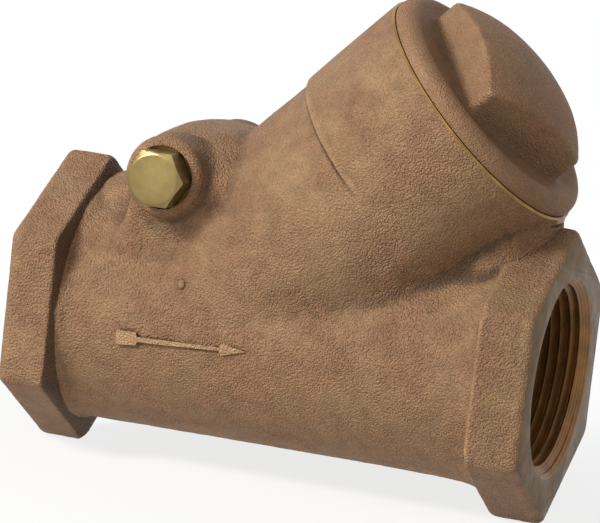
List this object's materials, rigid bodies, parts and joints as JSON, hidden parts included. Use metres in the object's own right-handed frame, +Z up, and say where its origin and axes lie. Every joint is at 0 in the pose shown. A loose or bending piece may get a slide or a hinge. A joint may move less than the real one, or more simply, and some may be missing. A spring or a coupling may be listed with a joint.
{
  "type": "swing check valve",
  "caption": "Y-pattern swing check valve: cast bronze body with hexagonal threaded ends, leaning bonnet, side-plugged hinge pin and a renewable swinging disc.",
  "frame": {"origin": "centre of the inlet end face, on the run axis", "axes": "+X along the run axis with the flow, +Z up through the run toward the side that the bonnet leans out of, +Y away from the picture's viewer"},
  "size_m": [0.116, 0.0592, 0.1078],
  "materials": {
    "cast_bronze": "sand-cast, matte",
    "turned_bronze": "turned, satin",
    "yellow_brass": "turned from bar, satin",
    "soft_seat": "moulded, smooth"
  },
  "bodies": {
    "valve": {"body": "cast_bronze", "bonnet": "cast_bronze", "hinge_pin": "turned_bronze", "side_plug_front": "yellow_brass", "side_plug_back": "yellow_brass"},
    "hanger": {"disc_hanger": "cast_bronze"},
    "disc": {"disc_holder": "turned_bronze", "seat_disc": "soft_seat", "seat_disc_washer": "yellow_brass", "seat_disc_nut": "yellow_brass", "hanger_washer": "yellow_brass", "hanger_nut": "yellow_brass", "nut_split_pin": "turned_bronze"}
  },
  "joints": [
    {"name": "disc_swing", "type": "hinge", "parent": "valve", "child": "hanger", "pos_m": [0.0311, 0, 0.0323], "axis": [0, -1, 0], "range_deg": [0, 55]},
    {"name": "disc_spin", "type": "hinge", "parent": "hanger", "child": "disc", "pos_m": [0.0382, 0, 0], "axis": [0.7071, 0, 0.7071], "continuous": true}
  ]
}
